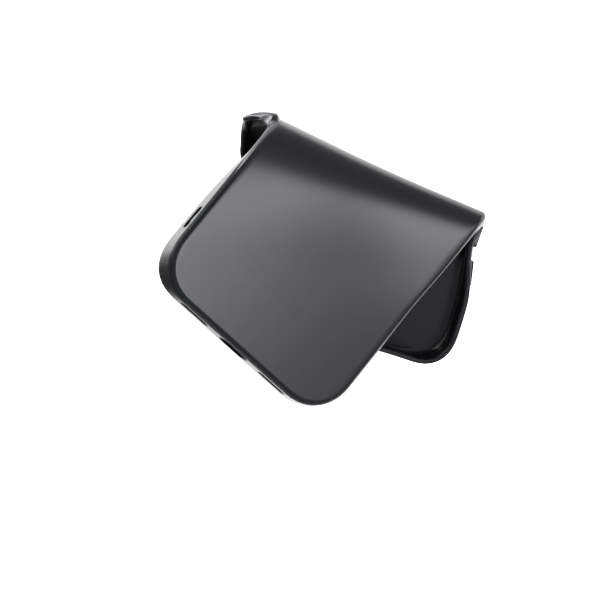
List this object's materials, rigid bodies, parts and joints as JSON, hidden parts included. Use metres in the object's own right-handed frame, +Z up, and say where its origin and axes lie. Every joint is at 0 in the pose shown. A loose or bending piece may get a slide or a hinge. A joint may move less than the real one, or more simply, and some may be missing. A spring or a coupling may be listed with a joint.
{
  "type": "soft phone case",
  "caption": "Soft one-piece phone case bent double along a slanted crease, with a raised lip, button pads and cut-outs.",
  "frame": {"origin": "centre of the bounding box on the surface that the case lies on", "axes": "+Z up from the back of the half with the camera window, which lies flat; +X towards the case's left side along the camera end; +Y from the crease towards the two ends"},
  "size_m": [0.1048, 0.0906, 0.05],
  "materials": {
    "soft_plastic": "frosted matt black"
  },
  "bodies": {
    "root": {"case_shell": "soft_plastic"}
  },
  "joints": []
}
